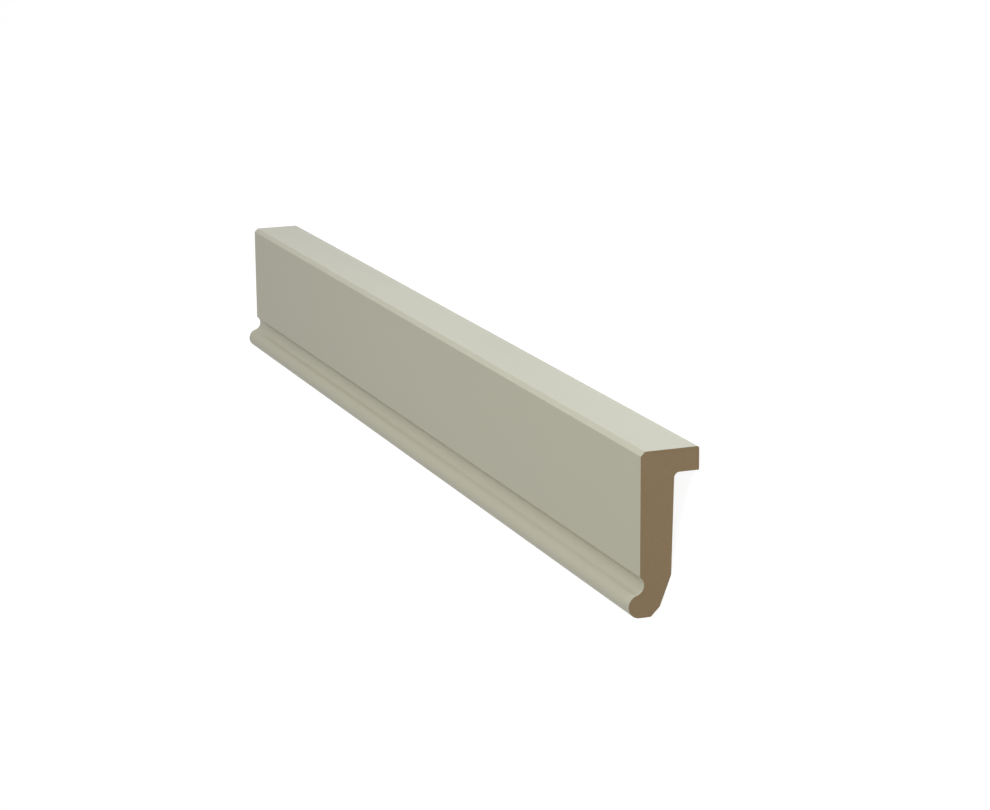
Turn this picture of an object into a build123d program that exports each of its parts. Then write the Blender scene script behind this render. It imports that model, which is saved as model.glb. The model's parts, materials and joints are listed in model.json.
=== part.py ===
from build123d import *

import os
from math import atan2, cos, sin, sqrt

os.makedirs("parts", exist_ok=True)

# Light pelmet: one length of L-shaped moulding, machined from a single board of fibreboard.
# Its flange lies against the underside of a wall cabinet, and its blade hides the lamps there.
# Millimetres. The section is drawn upright, as it hangs: depth runs from the flat front face
# (0) back towards the wall, and height runs from the underside of the bead (0) up to the cabinet.
# It is stored lying on its back with the painted front up, because unheld it can't stand.

# Whole moulding
length = 550.0
height = 70.0

# Flange at the top
flange_depth = 26.0
flange_thickness = 10.0
front_chamfer = 1.9
rear_rounding = 1.0
inner_rounding = 2.3

# Blade, slightly thinner at its foot than under the flange
blade_root = 15.0
blade_foot = 14.0

# Foot, cut away behind the bead by a steep slope and a short 45 degree one
slope_height = 17.0
foot_chamfer = 4.0
foot_flat = 5.0

# Bead along the lower front edge, centred on the plane of the front face, and the cove over it
bead_radius = 5.0
cove_radius = 4.2
cove_depth = 1.8

# Heights and points that follow from those sizes
flange_underside = height - flange_thickness
cove_centre_depth = cove_depth - cove_radius
cove_height = bead_radius + sqrt((bead_radius + cove_radius) ** 2 - cove_centre_depth**2)
arris_height = cove_height + sqrt(cove_radius**2 - cove_centre_depth**2)
bead_share = bead_radius / (bead_radius + cove_radius)
bead_to_cove = (
    cove_centre_depth * bead_share,
    bead_radius + (cove_height - bead_radius) * bead_share,
)
slope_top = (blade_foot, slope_height)
slope_foot = (foot_flat + foot_chamfer, foot_chamfer)

# On its back the moulding rests on the lower rear edge of the flange and on the first edge of
# the foot to reach the floor. The tilt is the angle that the front face makes with the floor.
rest_tilt = min(
    atan2(flange_depth - depth, flange_underside - rise) for depth, rise in (slope_top, slope_foot)
)
lift = flange_depth * cos(rest_tilt) - flange_underside * sin(rest_tilt)

# How far the lying section reaches along the floor, from the bead to the flange's rounding
bead_reach = bead_radius * (cos(rest_tilt) - 1)
flange_reach = (
    (flange_depth - rear_rounding) * sin(rest_tilt)
    + (height - rear_rounding) * cos(rest_tilt)
    + rear_rounding
)
middle = (bead_reach + flange_reach) / 2

# The section's plane stands across the length, with the depth pointing down at the floor
section_plane = Plane(
    origin=(0, -middle, lift),
    x_dir=(0, sin(rest_tilt), -cos(rest_tilt)),
    z_dir=(1, 0, 0),
)

with BuildPart() as light_pelmet:
    with BuildSketch(section_plane) as section:
        with BuildLine():
            Polyline(
                (0, 0),
                (foot_flat, 0),
                slope_foot,
                slope_top,
                (blade_root, flange_underside),
                (flange_depth, flange_underside),
                (flange_depth, height),
                (0, height),
                (0, arris_height),
            )
            ThreePointArc((0, arris_height), (cove_depth, cove_height), bead_to_cove)
            ThreePointArc(bead_to_cove, (-bead_radius, bead_radius), (0, 0))
        make_face()

        # Rounded inner corner, eased top rear edge and chamfered top front edge
        inner_corner = section.vertices().sort_by_distance((blade_root, flange_underside))[0]
        fillet(inner_corner, inner_rounding)
        fillet(section.vertices().group_by(Axis.Y)[-1].sort_by(Axis.X)[-1], rear_rounding)
        chamfer(section.vertices().group_by(Axis.Y)[-1].sort_by(Axis.X)[0], front_chamfer)
    extrude(amount=length / 2, both=True)

light_pelmet.part.label = "light_pelmet"
export_step(light_pelmet.part, "parts/light_pelmet.step")
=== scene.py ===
import json
from math import atan2, pi, radians, sqrt, tan

import bmesh
import bpy
from bpy.props import FloatProperty, FloatVectorProperty, IntProperty, PointerProperty
from bpy.types import Operator, Panel, PropertyGroup
from mathutils import Matrix, Vector


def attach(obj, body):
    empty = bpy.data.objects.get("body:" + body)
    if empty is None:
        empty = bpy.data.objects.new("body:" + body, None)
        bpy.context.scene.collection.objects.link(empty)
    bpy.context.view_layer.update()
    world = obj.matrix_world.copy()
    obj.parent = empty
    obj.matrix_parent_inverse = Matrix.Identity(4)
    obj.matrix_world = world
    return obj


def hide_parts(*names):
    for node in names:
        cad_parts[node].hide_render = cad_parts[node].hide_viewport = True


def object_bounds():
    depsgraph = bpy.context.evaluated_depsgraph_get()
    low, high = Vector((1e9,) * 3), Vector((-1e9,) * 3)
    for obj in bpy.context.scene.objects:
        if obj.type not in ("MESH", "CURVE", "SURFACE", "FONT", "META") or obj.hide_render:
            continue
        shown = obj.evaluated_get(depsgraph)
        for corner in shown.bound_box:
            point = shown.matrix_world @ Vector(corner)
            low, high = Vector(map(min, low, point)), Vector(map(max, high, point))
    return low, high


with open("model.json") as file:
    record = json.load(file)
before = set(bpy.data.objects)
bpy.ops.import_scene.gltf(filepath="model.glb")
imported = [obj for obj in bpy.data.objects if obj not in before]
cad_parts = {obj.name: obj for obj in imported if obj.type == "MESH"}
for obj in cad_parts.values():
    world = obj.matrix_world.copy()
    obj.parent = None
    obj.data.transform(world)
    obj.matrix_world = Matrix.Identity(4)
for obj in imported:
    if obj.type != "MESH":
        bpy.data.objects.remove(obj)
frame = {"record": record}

bl_info = {
    "name": "Light Pelmet Moulding",
    "version": (1, 0, 0),
    "blender": (4, 5, 0),
    "location": "3D View > Sidebar > Pelmet",
    "description": "Models one painted length of beaded light pelmet, sawn square at both ends",
    "category": "Add Mesh",
}

# The node that the moulding replaces, with its box and its cabinet face
NODE = "light_pelmet"
CAD_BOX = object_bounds()
CABINET_FACE = next(m for m in frame["record"]["mounts"] if m["name"] == "cabinet_face")

MM = 0.001
# Two places less than a micrometre apart are the same
SAME_PLACE = 1e-6
# A face looks along an axis when its normal reaches this far along it
SQUARELY = 0.9
# Faces that turn less than this are one flat face
FLAT_UNDER = radians(0.2)
# Edges that turn less than this are shaded smooth
SMOOTH_UNDER = radians(25)


# Sizes, finishes and stage, as a user may change them


def distance(name, description, millimetres):
    """A length property, given in millimetres."""
    return FloatProperty(
        name=name,
        description=description,
        default=millimetres * MM,
        min=0.0,
        precision=5,
        subtype="DISTANCE",
        unit="LENGTH",
    )


def facets(name, description, number):
    """How many flat facets make up a round stretch."""
    return IntProperty(name=name, description=description, default=number, min=1)


def colour(name, description, value):
    """A linear colour property."""
    return FloatVectorProperty(
        name=name, description=description, default=value, size=3, min=0.0, max=1.0, subtype="COLOR"
    )


def share(name, description, value):
    """A property from 0 to 1."""
    return FloatProperty(
        name=name, description=description, default=value, min=0.0, max=1.0, subtype="FACTOR"
    )


def angle(name, description, degrees):
    """An angle property, given in degrees."""
    return FloatProperty(
        name=name, description=description, default=radians(degrees), subtype="ANGLE", unit="ROTATION"
    )


def power(name, description, watts):
    """The power of a lamp."""
    return FloatProperty(name=name, description=description, default=watts, min=0.0, unit="POWER")


def spot(name, description, metres):
    """A place in the frame, in metres."""
    return FloatVectorProperty(
        name=name, description=description, default=metres, size=3, subtype="TRANSLATION", unit="LENGTH"
    )


class PelmetSizes(PropertyGroup):
    """Sizes of the section, with depth from the front face and height from the bead's underside."""

    length: distance("Length", "Sawn length", (CAD_BOX[1].x - CAD_BOX[0].x) / MM)
    height: distance("Height", "From the bead's underside to the cabinet face", 70.0)
    flange_depth: distance("Flange depth", "From the front face to the flange's rear edge", 26.0)
    flange_thickness: distance("Flange thickness", "Thickness of the flange", 10.0)
    front_chamfer: distance("Front chamfer", "Leg of the chamfer on the top front edge", 1.9)
    rear_rounding: distance("Rear rounding", "Radius of the flange's top rear edge", 1.0)
    inner_rounding: distance("Inner rounding", "Radius between blade and flange", 2.3)
    blade_root: distance("Blade root", "Blade thickness under the flange", 15.0)
    blade_foot: distance("Blade foot", "Blade thickness above the rear slope", 14.0)
    slope_height: distance("Slope height", "Height where the rear slope starts", 17.0)
    foot_chamfer: distance("Foot chamfer", "Leg of the chamfer under the rear slope", 4.0)
    foot_flat: distance("Foot flat", "Depth of the flat underside behind the bead", 5.0)
    bead_radius: distance("Bead radius", "Radius of the bead", 5.0)
    cove_radius: distance("Cove radius", "Radius of the hollow over the bead", 4.2)
    cove_depth: distance("Cove depth", "How far the hollow cuts behind the front face", 1.8)
    arris_softness: distance("Arris softness", "Width that sanding and paint take off an arris", 0.25)
    paint_film: distance("Paint film", "Thickness of primer and paint on the long faces", 0.1)
    bead_facets: facets("Bead facets", "Facets round the bead", 32)
    cove_facets: facets("Cove facets", "Facets round the cove", 24)
    inner_facets: facets("Inner facets", "Facets of the rounding between blade and flange", 8)
    rear_facets: facets("Rear facets", "Facets of the flange's top rear rounding", 6)
    arris_facets: facets("Arris facets", "Facets of a softened arris", 3)


class PelmetFinish(PropertyGroup):
    """Colours and surface of the paint and of the sawn fibreboard."""

    paint: colour("Paint", "Colour of the satin paint", (0.345, 0.333, 0.250))
    paint_spread: share("Paint spread", "How far the paint's tone strays from its colour", 0.05)
    paint_roughness: share("Paint roughness", "Roughness of the satin paint", 0.45)
    sheen_drift: share("Sheen drift", "How much the roughness changes slowly over the paint", 0.08)
    sheen_ripple: share("Sheen ripple", "How much the roughness changes with the fine ripple", 0.05)
    paint_drift: distance("Paint drift", "Width of the slow changes in the paint", 60.0)
    peel_size: distance("Peel size", "Width of the sprayed paint's fine ripple", 1.1)
    cutter_pitch: distance("Cutter pitch", "Distance between the cutter's faint lines", 0.5)
    dust_size: distance("Dust size", "Width of the paint's finest grain", 0.25)
    peel_depth: distance("Peel depth", "Depth of the paint's relief", 0.03)
    peel_strength: share("Peel strength", "How much of the paint's relief shows", 0.4)
    board: colour("Board", "Colour of the sawn fibreboard", (0.224, 0.155, 0.078))
    board_spread: share("Board spread", "How far the board's tone strays from its colour", 0.18)
    board_roughness: share("Board roughness", "Roughness of the sawn fibreboard", 0.85)
    board_drift: distance("Board drift", "Width of the slow changes in the board's tone", 25.0)
    fibre_size: distance("Fibre size", "Width of the fibre bundles on a sawn end", 0.35)
    fibre_depth: distance("Fibre depth", "Depth of the sawn end's relief", 0.05)
    fibre_strength: share("Fibre strength", "How much of the sawn end's relief shows", 0.35)
    skin_depth: distance("Skin depth", "Depth of the denser board under its pressed rear face", 2.5)
    skin_darkness: share("Skin darkness", "How far the denser board goes towards the dark tone", 0.15)
    saw_pitch: distance("Saw pitch", "Distance between the marks of the saw's teeth", 0.9)
    saw_radius: distance("Saw radius", "Radius of the saw blade that cut the ends", 125.0)


class PelmetStage(PropertyGroup):
    """The floor, the camera beside the hanging moulding, and the lamps round the lying one."""

    floor_size: distance("Floor size", "Width of the square floor", 60000.0)
    floor_card: share("Floor card", "Tone with which the floor lights the moulding", 0.8)
    floor_shadow: share("Floor shadow", "Tone that carries the shadow on the floor that is seen", 0.17)
    floor_glow: share("Floor glow", "White that the floor that is seen gives off by itself", 0.93)
    camera_along: distance("Camera along", "How far the camera stands beyond the +X end", 963.64)
    camera_front: distance("Camera front", "How far it stands in front of the front face", 433.85)
    camera_above: distance("Camera above", "How far it stands over the bead's underside", 351.37)
    camera_azimuth: angle("Camera azimuth", "Turn of the view from the front to the +X end", 68.92)
    camera_dip: angle("Camera dip", "How far the view looks down on the hanging moulding", 13.915)
    camera_roll: angle("Camera roll", "Turn of the picture about the line of sight", -0.441)
    sensor: FloatProperty(
        name="Sensor", description="Width of the camera's sensor", default=36.0, min=1.0, unit="CAMERA"
    )
    lens: FloatProperty(
        name="Lens", description="Focal length of the camera", default=99.04, min=10.0, unit="CAMERA"
    )
    sky: FloatProperty(
        name="Sky", description="Strength of the even light of the room", default=0.02, min=0.0
    )
    key_place: spot("Key place", "Where the key light hangs", (0.75, 0.5, 1.5))
    key_width: distance("Key width", "Width and height of the key light", 1600.0)
    key_power: power("Key power", "Power of the large soft light over the moulding", 31.0)
    back_place: spot("Back place", "Where the back light hangs", (0.4, 1.2, 0.7))
    back_width: distance("Back width", "Width and height of the back light", 700.0)
    back_power: power("Back power", "Power of the soft light above the cabinet face's side", 7.3)
    strip_place: spot("Strip place", "Where the strip light stands", (0.3, 1.1, 0.11))
    strip_width: distance("Strip width", "Width of the strip light", 800.0)
    strip_height: distance("Strip height", "Height of the strip light", 200.0)
    strip_power: power("Strip power", "Power of the low strip light before the cabinet face", 7.8)
    strip_colour: colour("Strip colour", "Slightly cool colour of the strip light", (0.68, 0.77, 1.0))
    fill_place: spot("Fill place", "Where the fill light hangs", (0.4, -1.2, 1.05))
    fill_width: distance("Fill width", "Width and height of the fill light", 800.0)
    fill_power: power("Fill power", "Power of the weak light on the bead's side", 5.2)


# The section's outline, and the turn from hanging coordinates to the moulding on its back


def front_outline(sizes):
    """Centre of the cove, its arris and the point where bead and cove meet, as (depth, height)."""
    reach = sizes.bead_radius + sizes.cove_radius
    centre_depth = sizes.cove_depth - sizes.cove_radius
    centre_height = sizes.bead_radius + sqrt(reach**2 - centre_depth**2)
    arris_height = centre_height + sqrt(sizes.cove_radius**2 - centre_depth**2)
    part_way = sizes.bead_radius / reach
    rise = (centre_height - sizes.bead_radius) * part_way
    meeting = (centre_depth * part_way, sizes.bead_radius + rise)
    return (centre_depth, centre_height), (0.0, arris_height), meeting


def lying(sizes):
    """The turn and shift from hanging coordinates to the frame, read from the cabinet face's mount."""
    axis = Vector(CABINET_FACE["axis"])
    place = Vector(CABINET_FACE["pos_m"])
    turn = Matrix.Rotation(-atan2(axis.y, axis.z), 4, "X")
    flat_middle = (sizes.front_chamfer + sizes.flange_depth - sizes.rear_rounding) / 2
    start = turn @ Vector((0.0, flat_middle, sizes.height))
    return Matrix.Translation(place - start) @ turn


# Modelling in edit mode


def start_from_nothing_selected():
    """Leave edit mode and deselect every object."""
    if bpy.context.object and bpy.context.object.mode == "EDIT":
        bpy.ops.object.mode_set(mode="OBJECT")
    bpy.ops.object.select_all(action="DESELECT")


def pick(kind, wanted):
    """Select only the open mesh's verts, edges or faces that pass a test."""
    bpy.ops.mesh.select_mode(type=kind)
    bpy.ops.mesh.select_all(action="DESELECT")
    data = bpy.context.edit_object.data
    mesh = bmesh.from_edit_mesh(data)
    parts = {"VERT": mesh.verts, "EDGE": mesh.edges, "FACE": mesh.faces}[kind]
    found = [part for part in parts if wanted(part)]
    if not found:
        raise RuntimeError(f"no {kind.lower()} of the moulding passes the test")
    for part in found:
        part.select_set(True)
    mesh.select_flush_mode()
    bmesh.update_edit_mesh(data)


def near(first, second):
    """Whether two lengths agree."""
    return abs(first - second) < SAME_PLACE


def on_line(vert, depth, height):
    """Whether a vert is on the long line at that depth and height."""
    return near(vert.co.y, depth) and near(vert.co.z, height)


def pick_long_edge(depth, height):
    """Select the long edge at that depth and height."""
    pick("EDGE", lambda edge: all(on_line(vert, depth, height) for vert in edge.verts))


def cut_level(height):
    """Cut an edge loop round the moulding at that height."""
    bpy.ops.mesh.select_all(action="SELECT")
    bpy.ops.mesh.bisect(plane_co=(0.0, 0.0, height), plane_no=(0.0, 0.0, 1.0))


def move_rear_line(depth, height, new_depth):
    """Move the long line at that depth and height to a new depth."""
    pick("VERT", lambda vert: on_line(vert, depth, height))
    bpy.ops.transform.translate(value=(0.0, new_depth - depth, 0.0))


def round_edge(depth, height, width, segments):
    """Bevel one long edge; one segment makes a chamfer."""
    pick_long_edge(depth, height)
    bpy.ops.mesh.bevel(offset_type="OFFSET", offset=width, segments=segments, profile=0.5, affect="EDGES")


def spin_on(centre, turn, steps):
    """Spin the selected long edge round a centre given as (depth, height)."""
    bpy.ops.mesh.spin(steps=steps, angle=turn, center=(0.0, *centre), axis=(1.0, 0.0, 0.0))


def block_out(sizes):
    """Blade and flange as square timber: a block, extruded up and then back."""
    underside = sizes.height - sizes.flange_thickness
    bpy.ops.mesh.primitive_cube_add(size=1.0, location=(0.0, sizes.blade_root / 2, underside / 2))
    piece = bpy.context.object
    piece.scale = (sizes.length, sizes.blade_root, underside)
    bpy.ops.object.transform_apply(location=True, rotation=True, scale=True)
    bpy.ops.object.mode_set(mode="EDIT")
    pick("FACE", lambda face: face.normal.z > SQUARELY)
    bpy.ops.mesh.extrude_region_move(TRANSFORM_OT_translate={"value": (0.0, 0.0, sizes.flange_thickness)})
    pick("FACE", lambda face: face.normal.y > SQUARELY and face.calc_center_median().z > underside)
    back = sizes.flange_depth - sizes.blade_root
    bpy.ops.mesh.extrude_region_move(TRANSFORM_OT_translate={"value": (0.0, back, 0.0)})
    return piece


def shape_back(sizes):
    """Taper the blade and cut the two slopes behind the foot."""
    cut_level(sizes.slope_height)
    cut_level(sizes.foot_chamfer)
    move_rear_line(sizes.blade_root, sizes.slope_height, sizes.blade_foot)
    move_rear_line(sizes.blade_root, sizes.foot_chamfer, sizes.foot_flat + sizes.foot_chamfer)
    move_rear_line(sizes.blade_root, 0.0, sizes.foot_flat)


def turn_bead_and_cove(sizes):
    """Take the square lower front away, spin the bead and the cove in its place, and close the ends."""
    cove_centre, arris, meeting = front_outline(sizes)
    half = sizes.length / 2
    cut_level(arris[1])

    def below_arris(face):
        middle = face.calc_center_median()
        return middle.z < arris[1] and (near(middle.y, 0.0) or near(abs(middle.x), half))

    pick("FACE", below_arris)
    bpy.ops.mesh.delete(type="FACE")

    # The bead starts under its own centre, and the cove goes on from where the bead ends
    bead_turn = pi + atan2(meeting[0], meeting[1] - sizes.bead_radius)
    pick_long_edge(0.0, 0.0)
    spin_on((0.0, sizes.bead_radius), bead_turn, sizes.bead_facets)
    start = atan2(meeting[1] - cove_centre[1], meeting[0] - cove_centre[0])
    end = atan2(arris[1] - cove_centre[1], arris[0] - cove_centre[0])
    spin_on(cove_centre, start - end, sizes.cove_facets)

    bpy.ops.mesh.select_all(action="SELECT")
    bpy.ops.mesh.remove_doubles(threshold=SAME_PLACE)
    for side in (-half, half):
        pick("EDGE", lambda edge: edge.is_boundary and all(near(vert.co.x, side) for vert in edge.verts))
        bpy.ops.mesh.edge_face_add()
    bpy.ops.mesh.select_all(action="SELECT")
    bpy.ops.mesh.normals_make_consistent(inside=False)
    bpy.ops.mesh.dissolve_limited(angle_limit=FLAT_UNDER)


def ease_edges(sizes):
    """Chamfer, roundings and the slight softness of every long arris."""
    underside = sizes.height - sizes.flange_thickness
    arris = front_outline(sizes)[1]
    # The tapered blade meets the flange at a little over a right angle
    lean = atan2(sizes.blade_root - sizes.blade_foot, underside - sizes.slope_height)
    inner_width = sizes.inner_rounding / tan((pi / 2 + lean) / 2)
    round_edge(sizes.blade_root, underside, inner_width, sizes.inner_facets)
    round_edge(sizes.flange_depth, sizes.height, sizes.rear_rounding, sizes.rear_facets)
    round_edge(0.0, sizes.height, sizes.front_chamfer, 1)
    for depth, height in (
        (0.0, sizes.height - sizes.front_chamfer),
        (sizes.front_chamfer, sizes.height),
        (sizes.flange_depth, underside),
        (sizes.blade_foot, sizes.slope_height),
        (sizes.foot_flat + sizes.foot_chamfer, sizes.foot_chamfer),
        (sizes.foot_flat, 0.0),
        arris,
    ):
        round_edge(depth, height, sizes.arris_softness / 2, sizes.arris_facets)


def saw_ends(sizes):
    """Give each end the sawn board's finish, inside a thin ring of the paint film."""
    pick("FACE", lambda face: abs(face.normal.x) > SQUARELY)
    bpy.ops.mesh.inset(thickness=sizes.paint_film, depth=0.0, use_boundary=True, use_even_offset=True)
    # The paint is the moulding's first material and the board its second
    bpy.context.object.active_material_index = 1
    bpy.ops.object.material_slot_assign()


def shade(piece):
    """Smooth the round stretches, with the most weight on the broad flat faces beside them."""
    bpy.ops.object.shade_smooth_by_angle(angle=SMOOTH_UNDER)
    bpy.ops.object.modifier_add(type="WEIGHTED_NORMAL")
    piece.modifiers[-1].keep_sharp = True
    piece.modifiers[-1].weight = 100
    bpy.ops.object.modifier_apply(modifier=piece.modifiers[-1].name)


# Shader maths as expressions, and the materials


class Socket:
    """An output of a node; Python maths on it adds Math nodes."""

    def __init__(self, tree, plug):
        self.tree = tree
        self.plug = plug

    def maths(self, operation, first, second):
        return self.tree.add("ShaderNodeMath", {"operation": operation}, {0: first, 1: second})

    def __add__(self, other):
        return self.maths("ADD", self, other)

    def __radd__(self, other):
        return self.maths("ADD", other, self)

    def __sub__(self, other):
        return self.maths("SUBTRACT", self, other)

    def __rsub__(self, other):
        return self.maths("SUBTRACT", other, self)

    def __mul__(self, other):
        return self.maths("MULTIPLY", self, other)

    def __rmul__(self, other):
        return self.maths("MULTIPLY", other, self)


class Tree:
    """The emptied node tree of a material or a world."""

    def __init__(self, owner):
        owner.use_nodes = True
        self.nodes = owner.node_tree.nodes
        self.links = owner.node_tree.links
        self.nodes.clear()

    def add(self, kind, settings, sockets, output=0):
        """Add a node: its settings first, then a value or a link for each socket."""
        node = self.nodes.new(kind)
        for name, value in settings.items():
            setattr(node, name, value)
        for key, value in sockets.items():
            if isinstance(value, Socket):
                self.links.new(value.plug, node.inputs[key])
            else:
                node.inputs[key].default_value = value
        return Socket(self, node.outputs[output]) if node.outputs else None

    def place(self):
        """The piece's own coordinates."""
        return self.add("ShaderNodeTexCoord", {}, {}, "Object")

    def noise(self, place, size, detail=2.0, roughness=0.5):
        """Noise from 0 to 1 with features of about that size."""
        sockets = {"Vector": place, "Scale": 1.0 / size, "Detail": detail, "Roughness": roughness}
        return self.add("ShaderNodeTexNoise", {}, sockets, "Fac")

    def tones(self, factor, rgb, spread):
        """A colour that goes from darker to lighter with a factor, by that share of itself."""
        dark = tuple(channel * (1.0 - spread) for channel in rgb)
        light = tuple(channel * (1.0 + spread) for channel in rgb)
        # A Mix node set to colours has its factor at 0, the colours at 6 and 7 and its result at 2
        sockets = {0: factor, 6: (*dark, 1.0), 7: (*light, 1.0)}
        return self.add("ShaderNodeMix", {"data_type": "RGBA"}, sockets, 2)

    def relief(self, height, depth, strength):
        """A normal from a height that runs from 0 to 1 over that depth."""
        return self.add("ShaderNodeBump", {}, {"Height": height, "Distance": depth, "Strength": strength})

    def grey(self, kind, tone, **sockets):
        """A plain shader of an even grey, which at 1 is white."""
        return self.add(kind, {}, {"Color": (tone, tone, tone, 1.0), **sockets})

    def blend(self, factor, first, second):
        """The first shader where the factor is 0, and the second where it is 1."""
        return self.add("ShaderNodeMixShader", {}, {0: factor, 1: first, 2: second})

    def seen_directly(self):
        """1 for the rays of the camera, of reflections and of glass, and 0 for light on surfaces."""
        seen = self.add("ShaderNodeLightPath", {}, {}, "Is Camera Ray")
        for kind in ("Is Glossy Ray", "Is Transmission Ray"):
            seen = seen.maths("MAXIMUM", seen, self.add("ShaderNodeLightPath", {}, {}, kind))
        return seen


def satin_paint(finish):
    """Sprayed satin paint: fine ripple, faint cutter lines along the moulding, slow drift of tone."""
    material = bpy.data.materials.new("satin_paint")
    tree = Tree(material)
    place = tree.place()
    drift = tree.noise(place, finish.paint_drift, detail=3.0)
    ripple = tree.noise(place, finish.peel_size, detail=1.0)
    dust = tree.noise(place, finish.dust_size, detail=1.0)
    # Noise drawn out fifty times along X runs in lines along the moulding
    drawn_out = tree.add("ShaderNodeMapping", {}, {"Vector": place, "Scale": (1 / 50, 1.0, 1.0)})
    cutter_lines = tree.noise(drawn_out, finish.cutter_pitch)
    # The shares in each mixture add up to one
    mottle = drift * 0.6 + cutter_lines * 0.25 + dust * 0.15
    surface = ripple * 0.6 + cutter_lines * 0.3 + dust * 0.1
    slow_change = finish.sheen_drift * (drift - 0.5)
    fine_change = finish.sheen_ripple * (ripple - 0.5)
    shader = tree.add(
        "ShaderNodeBsdfPrincipled",
        {},
        {
            "Base Color": tree.tones(mottle, finish.paint, finish.paint_spread),
            "Roughness": finish.paint_roughness + slow_change + fine_change,
            "Normal": tree.relief(surface, finish.peel_depth, finish.peel_strength),
        },
    )
    tree.add("ShaderNodeOutputMaterial", {}, {"Surface": shader})
    return material


def pressed_skin(tree, place, finish, sizes):
    """0 inside the board, rising to 1 at its pressed rear face."""
    depth = tree.add("ShaderNodeSeparateXYZ", {}, {"Vector": place}, "Y")
    start = sizes.flange_depth - finish.skin_depth
    return tree.add(
        "ShaderNodeMapRange",
        {"interpolation_type": "SMOOTHSTEP"},
        {"Value": depth, "From Min": start, "From Max": sizes.flange_depth},
    )


def saw_marks(tree, place, finish):
    """Arcs that run from 0 to 1, round a saw's axis behind and below the hanging moulding."""
    from_axis = (0.0, -finish.saw_radius * 0.8, finish.saw_radius * 0.6)
    moved = tree.add("ShaderNodeMapping", {}, {"Vector": place, "Location": from_axis})
    # A wave texture of scale 1 runs through 20 radians in a metre
    scale = 2 * pi / (20 * finish.saw_pitch)
    return tree.add(
        "ShaderNodeTexWave",
        {"wave_type": "RINGS", "rings_direction": "X"},
        {"Vector": moved, "Scale": scale, "Distortion": 1.5, "Detail": 1.0},
        "Fac",
    )


def sawn_board(finish, sizes):
    """Sawn fibreboard: fibre bundles, a denser skin at the rear and the saw's faint arcs."""
    material = bpy.data.materials.new("sawn_fibreboard")
    tree = Tree(material)
    # Back to hanging coordinates, where Y is the section's depth and Z its height
    hang = lying(sizes).inverted()
    turned = {"Vector": tree.place(), "Location": hang.translation, "Rotation": hang.to_euler()}
    place = tree.add("ShaderNodeMapping", {}, turned)
    fibres = tree.noise(place, finish.fibre_size, detail=4.0, roughness=0.65)
    clumps = tree.noise(place, 4 * finish.fibre_size)
    drift = tree.noise(place, finish.board_drift, detail=1.0)
    skin = pressed_skin(tree, place, finish, sizes)
    arcs = saw_marks(tree, place, finish)
    # The shares in each mixture add up to one
    mottle = fibres * 0.5 + clumps * 0.25 + drift * 0.2 + arcs * 0.05
    surface = fibres * 0.8 + arcs * 0.2
    darkened = mottle - skin * finish.skin_darkness
    shader = tree.add(
        "ShaderNodeBsdfPrincipled",
        {},
        {
            "Base Color": tree.tones(darkened, finish.board, finish.board_spread),
            "Roughness": finish.board_roughness,
            "Normal": tree.relief(surface, finish.fibre_depth, finish.fibre_strength),
        },
    )
    tree.add("ShaderNodeOutputMaterial", {}, {"Surface": shader})
    return material


def white_floor(stage):
    """A floor that shows white, keeps a faint shadow, and lights the moulding like white card."""
    material = bpy.data.materials.new("white_floor")
    tree = Tree(material)
    card = tree.grey("ShaderNodeBsdfDiffuse", stage.floor_card)
    shadow = tree.grey("ShaderNodeBsdfDiffuse", stage.floor_shadow)
    glow = tree.grey("ShaderNodeEmission", 1.0, Strength=stage.floor_glow)
    shown = tree.add("ShaderNodeAddShader", {}, {0: shadow, 1: glow})
    tree.add("ShaderNodeOutputMaterial", {}, {"Surface": tree.blend(tree.seen_directly(), card, shown)})
    return material


def white_room(strength):
    """Even light on the moulding, and plain white wherever a ray looks past it."""
    world = bpy.data.worlds.new("white_room")
    tree = Tree(world)
    even = tree.grey("ShaderNodeBackground", 1.0, Strength=strength)
    white = tree.grey("ShaderNodeBackground", 1.0, Strength=1.0)
    tree.add("ShaderNodeOutputWorld", {}, {"Surface": tree.blend(tree.seen_directly(), even, white)})
    return world


# Floor, lamps and camera


def lay_floor(stage):
    """A square white floor under the moulding."""
    bpy.ops.mesh.primitive_plane_add(size=stage.floor_size, location=(0.0, 0.0, 0.0))
    floor = bpy.context.object
    floor.name = "floor"
    floor.data.materials.append(white_floor(stage))


def soft_lamp(name, place, width, height, watts, tint=(1.0, 1.0, 1.0)):
    """A rectangular soft lamp that faces the moulding."""
    bpy.ops.object.light_add(type="AREA", location=place)
    lamp = bpy.context.object
    lamp.name = name
    lamp.data.shape = "RECTANGLE"
    lamp.data.size = width
    lamp.data.size_y = height
    lamp.data.energy = watts
    lamp.data.color = tint
    lamp.rotation_euler = (-Vector(place)).to_track_quat("-Z", "Y").to_euler()


def hang_lamps(stage):
    """A large key light, a back light, a weak fill light and a low strip light."""
    soft_lamp("key_light", stage.key_place, stage.key_width, stage.key_width, stage.key_power)
    soft_lamp("back_light", stage.back_place, stage.back_width, stage.back_width, stage.back_power)
    soft_lamp("fill_light", stage.fill_place, stage.fill_width, stage.fill_width, stage.fill_power)
    soft_lamp(
        "strip_light",
        stage.strip_place,
        stage.strip_width,
        stage.strip_height,
        stage.strip_power,
        stage.strip_colour,
    )


def stand_camera(stage, sizes):
    """A camera beyond the +X end, placed beside the hanging moulding and laid down with it."""
    bpy.ops.object.camera_add()
    camera = bpy.context.object
    camera.name = "camera"
    camera.data.sensor_width = stage.sensor
    camera.data.lens = stage.lens
    beyond = sizes.length / 2 + stage.camera_along
    place = Matrix.Translation((beyond, -stage.camera_front, stage.camera_above))
    swing = Matrix.Rotation(stage.camera_azimuth, 4, "Z")
    dip = Matrix.Rotation(pi / 2 - stage.camera_dip, 4, "X")
    roll = Matrix.Rotation(stage.camera_roll, 4, "Z")
    camera.matrix_world = lying(sizes) @ place @ (swing @ dip @ roll)
    bpy.context.scene.camera = camera


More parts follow.
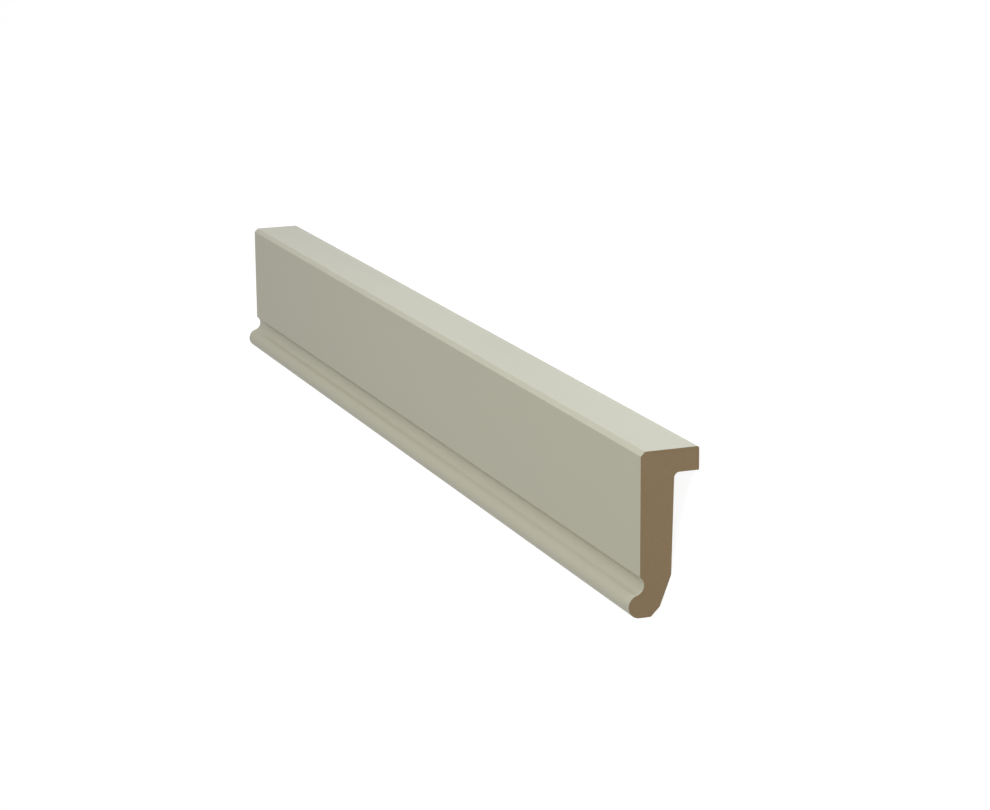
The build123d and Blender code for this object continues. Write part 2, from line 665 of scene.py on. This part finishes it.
# Operators and panel


class PELMET_OT_moulding(Operator):
    """Model the moulding as it hangs, give it its finishes and lay it on its back"""

    bl_idname = "pelmet.moulding"
    bl_label = "Moulding"
    bl_options = {"REGISTER", "UNDO"}

    def execute(self, context):
        sizes = context.scene.pelmet_sizes
        finish = context.scene.pelmet_finish
        start_from_nothing_selected()
        piece = block_out(sizes)
        piece.name = "moulding"
        piece.data.name = "moulding"
        piece.data.materials.append(satin_paint(finish))
        piece.data.materials.append(sawn_board(finish, sizes))
        shape_back(sizes)
        turn_bead_and_cove(sizes)
        ease_edges(sizes)
        saw_ends(sizes)
        bpy.ops.object.mode_set(mode="OBJECT")
        shade(piece)
        piece.matrix_world = lying(sizes)
        bpy.ops.object.transform_apply(location=True, rotation=True, scale=True)
        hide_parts(NODE)
        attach(piece, "root")
        return {"FINISHED"}


class PELMET_OT_stage(Operator):
    """Set the floor, the room, the lamps and the camera"""

    bl_idname = "pelmet.stage"
    bl_label = "Stage"
    bl_options = {"REGISTER", "UNDO"}

    def execute(self, context):
        stage = context.scene.pelmet_stage
        start_from_nothing_selected()
        lay_floor(stage)
        context.scene.world = white_room(stage.sky)
        hang_lamps(stage)
        stand_camera(stage, context.scene.pelmet_sizes)
        context.scene.view_settings.view_transform = "Standard"
        return {"FINISHED"}


class PELMET_PT_panel(Panel):
    """The sizes, finishes and steps of the moulding"""

    bl_idname = "PELMET_PT_panel"
    bl_label = "Light Pelmet"
    bl_space_type = "VIEW_3D"
    bl_region_type = "UI"
    bl_category = "Pelmet"

    def draw(self, context):
        for group in (context.scene.pelmet_sizes, context.scene.pelmet_finish, context.scene.pelmet_stage):
            box = self.layout.box()
            for name in group.__annotations__:
                box.prop(group, name)
        self.layout.operator("pelmet.moulding")
        self.layout.operator("pelmet.stage")


CLASSES = (PelmetSizes, PelmetFinish, PelmetStage, PELMET_OT_moulding, PELMET_OT_stage, PELMET_PT_panel)


def register():
    for cls in CLASSES:
        bpy.utils.register_class(cls)
    bpy.types.Scene.pelmet_sizes = PointerProperty(type=PelmetSizes)
    bpy.types.Scene.pelmet_finish = PointerProperty(type=PelmetFinish)
    bpy.types.Scene.pelmet_stage = PointerProperty(type=PelmetStage)


def unregister():
    del bpy.types.Scene.pelmet_stage
    del bpy.types.Scene.pelmet_finish
    del bpy.types.Scene.pelmet_sizes
    for cls in reversed(CLASSES):
        bpy.utils.unregister_class(cls)


def main():
    register()
    bpy.ops.pelmet.moulding()
    bpy.ops.pelmet.stage()


if __name__ == "__main__":
    main()
